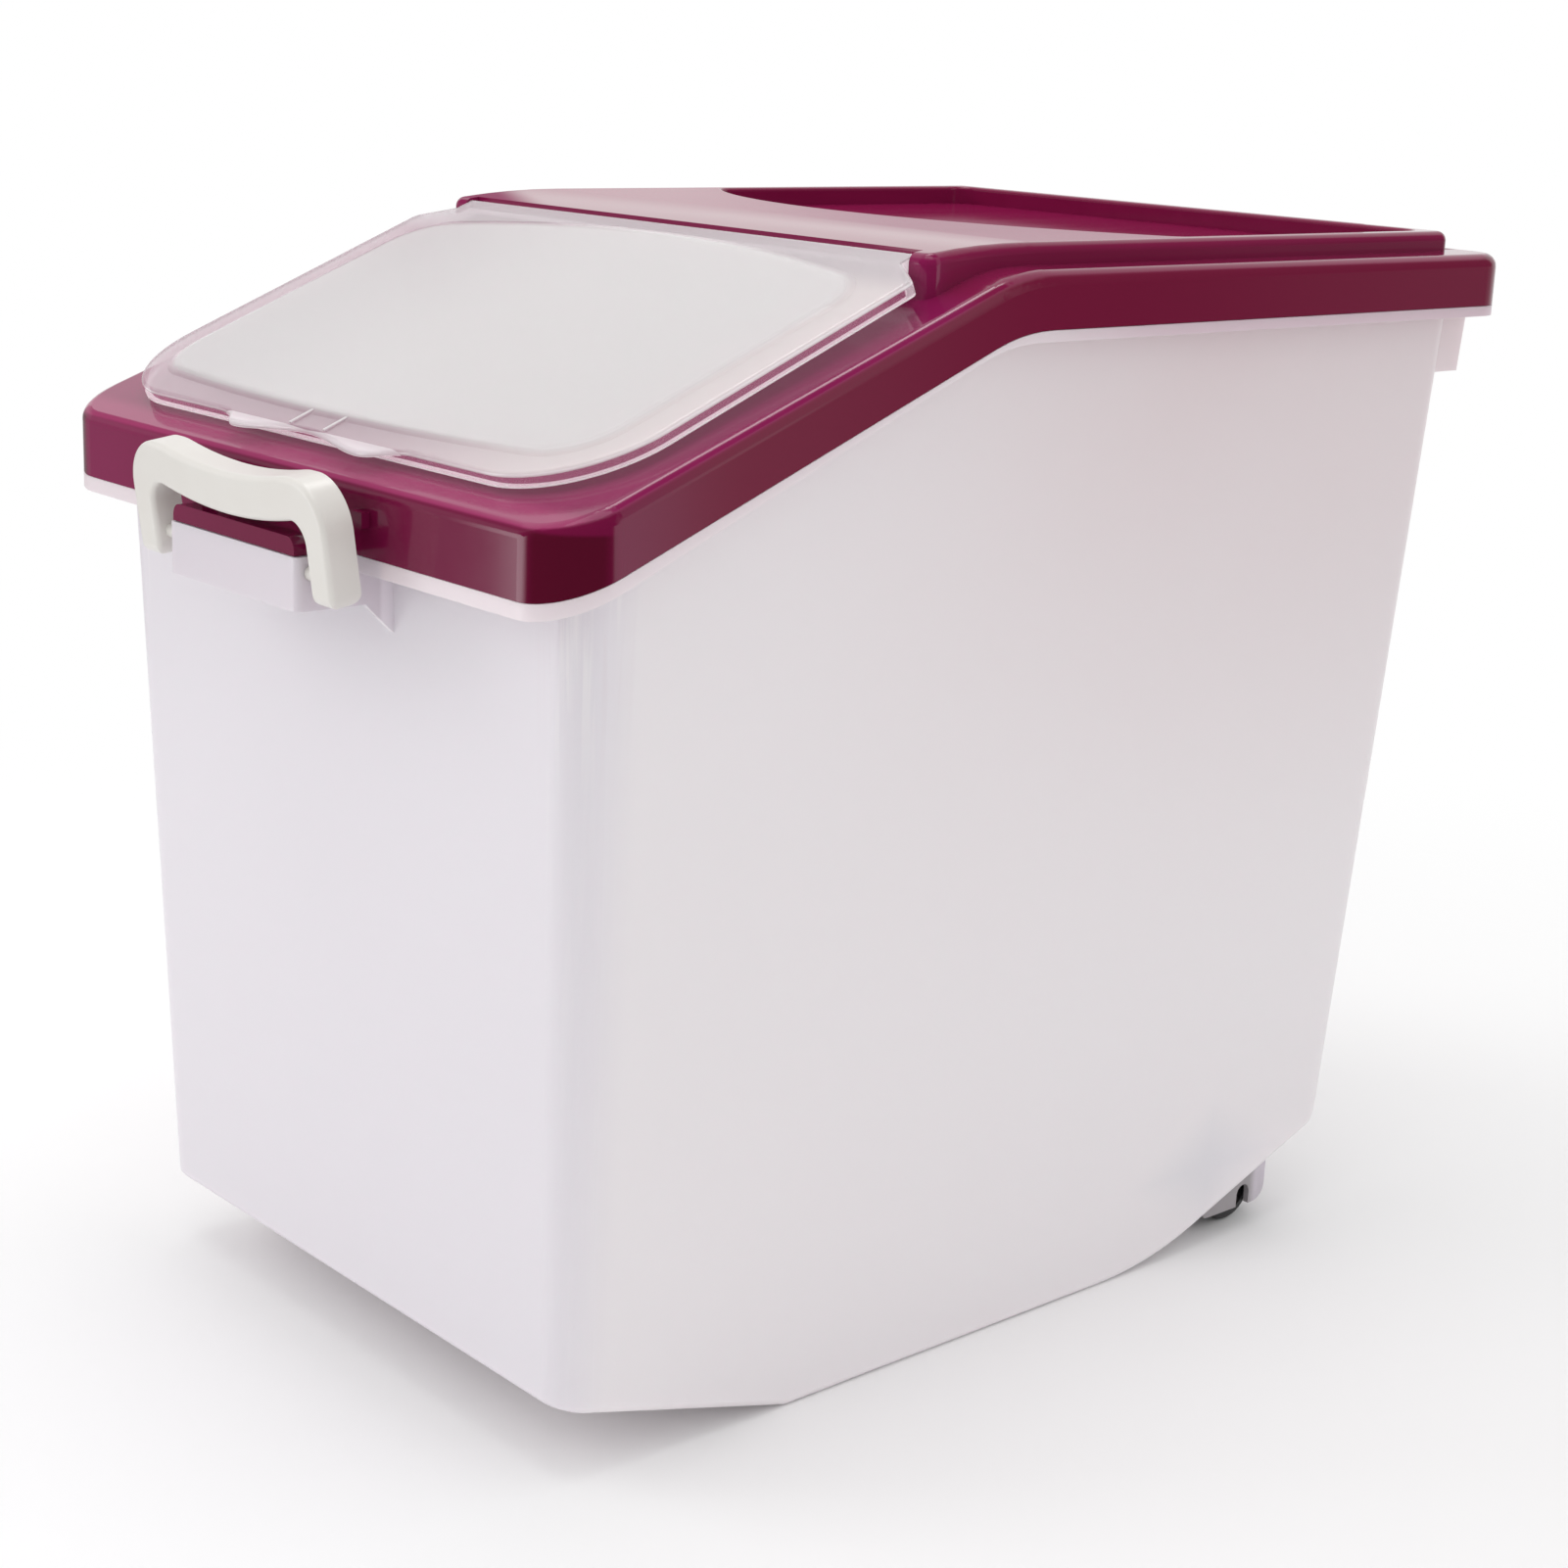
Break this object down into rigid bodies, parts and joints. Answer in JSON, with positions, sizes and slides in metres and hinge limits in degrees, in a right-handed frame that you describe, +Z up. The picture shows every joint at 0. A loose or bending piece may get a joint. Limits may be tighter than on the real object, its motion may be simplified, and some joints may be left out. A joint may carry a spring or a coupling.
{
  "type": "rolling ingredient bin",
  "caption": "Drafted storage tub on rear wheels, with a sloped skirted lid, a hinged scoop flap, a moulded tray and a swinging front latch.",
  "frame": {"origin": "middle of the overall footprint, on the floor that the flat base stands on", "axes": "+X across the bin to the right wheel, +Y from the front latch to the rear wheels, +Z up"},
  "size_m": [0.3, 0.4745, 0.3983],
  "materials": {
    "tub_plastic": "milky translucent polypropylene, satin",
    "lid_plastic": "glossy burgundy polypropylene",
    "flap_plastic": "clear rim with a milky panel, glossy",
    "latch_plastic": "ivory, satin gloss",
    "housing_plastic": "grey translucent plastic, satin",
    "wheel_plastic": "dark hard plastic",
    "axle_steel": "plain bright steel"
  },
  "bodies": {
    "bin": {"tub": "tub_plastic", "lid": "lid_plastic", "wheel_housing_right": "housing_plastic", "wheel_housing_left": "housing_plastic", "wheel_axle_right": "axle_steel", "wheel_axle_left": "axle_steel"},
    "flap": {"flap": "flap_plastic"},
    "latch_handle": {"latch_handle": "latch_plastic"},
    "wheel_right": {"wheel_right": "wheel_plastic"},
    "wheel_left": {"wheel_left": "wheel_plastic"}
  },
  "joints": [
    {"name": "flap_hinge", "type": "hinge", "parent": "bin", "child": "flap", "pos_m": [0, -0.05376, 0.39224], "axis": [-1, 0, 0], "range_deg": [0, 115]},
    {"name": "latch_pivot", "type": "hinge", "parent": "bin", "child": "latch_handle", "pos_m": [0, -0.22714, 0.2936], "axis": [1, 0, 0], "range_deg": [0, 150]},
    {"name": "wheel_right_spin", "type": "hinge", "parent": "bin", "child": "wheel_right", "pos_m": [0.10721, 0.15965, 0.0149], "axis": [1, 0, 0], "continuous": true},
    {"name": "wheel_left_spin", "type": "hinge", "parent": "bin", "child": "wheel_left", "pos_m": [-0.10721, 0.15965, 0.0149], "axis": [1, 0, 0], "continuous": true}
  ]
}
